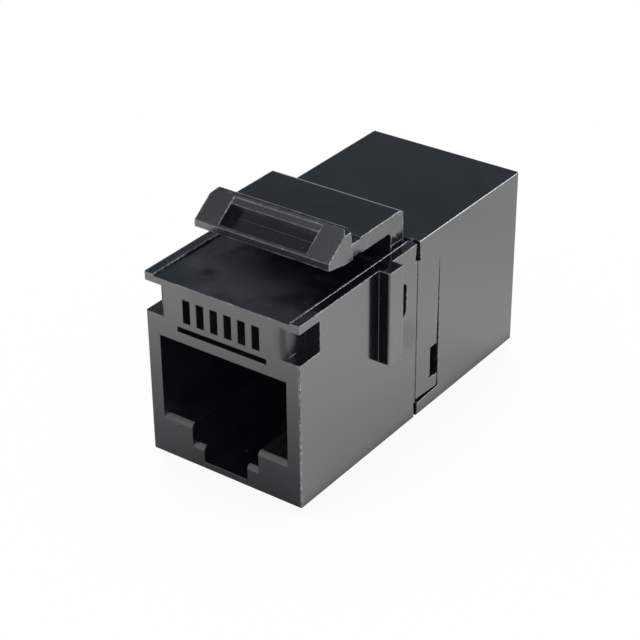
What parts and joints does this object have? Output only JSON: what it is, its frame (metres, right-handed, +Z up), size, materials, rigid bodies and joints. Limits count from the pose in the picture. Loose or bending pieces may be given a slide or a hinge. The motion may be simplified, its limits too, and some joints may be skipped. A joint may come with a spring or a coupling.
{
  "type": "keystone coupler",
  "caption": "Inline keystone coupler with a modular socket at each end, side stop ribs and a flexing release latch on top, in black plastic.",
  "frame": {"origin": "middle of the footprint, at the height of the underside of the fixed lug", "axes": "+Y from the front socket to the rear socket, +Z up towards the latch, +X to the right seen from the front"},
  "size_m": [0.0164, 0.0308, 0.0214],
  "materials": {
    "black_plastic": "satin moulded black plastic",
    "carrier_plastic": "matte moulded black plastic",
    "contact_metal": "gold-plated spring wire",
    "board": "glossy solder mask over glass laminate"
  },
  "bodies": {
    "coupler_body": {"front_housing": "black_plastic", "rear_housing": "black_plastic", "front_contact_insert": "carrier_plastic", "rear_contact_insert": "carrier_plastic", "circuit_board": "board", "front_contact_1": "contact_metal", "front_contact_2": "contact_metal", "front_contact_3": "contact_metal", "front_contact_4": "contact_metal", "front_contact_5": "contact_metal", "front_contact_6": "contact_metal", "front_contact_7": "contact_metal", "front_contact_8": "contact_metal", "rear_contact_1": "contact_metal", "rear_contact_2": "contact_metal", "rear_contact_3": "contact_metal", "rear_contact_4": "contact_metal", "rear_contact_5": "contact_metal", "rear_contact_6": "contact_metal", "rear_contact_7": "contact_metal", "rear_contact_8": "contact_metal"},
    "latch": {"release_latch": "black_plastic"}
  },
  "joints": [
    {"name": "latch_flex", "type": "hinge", "parent": "coupler_body", "child": "latch", "pos_m": [0, -0.00112, 0.01695], "axis": [1, 0, 0], "range_deg": [0, 11], "stiffness_Nm_per_rad": 0.2}
  ]
}
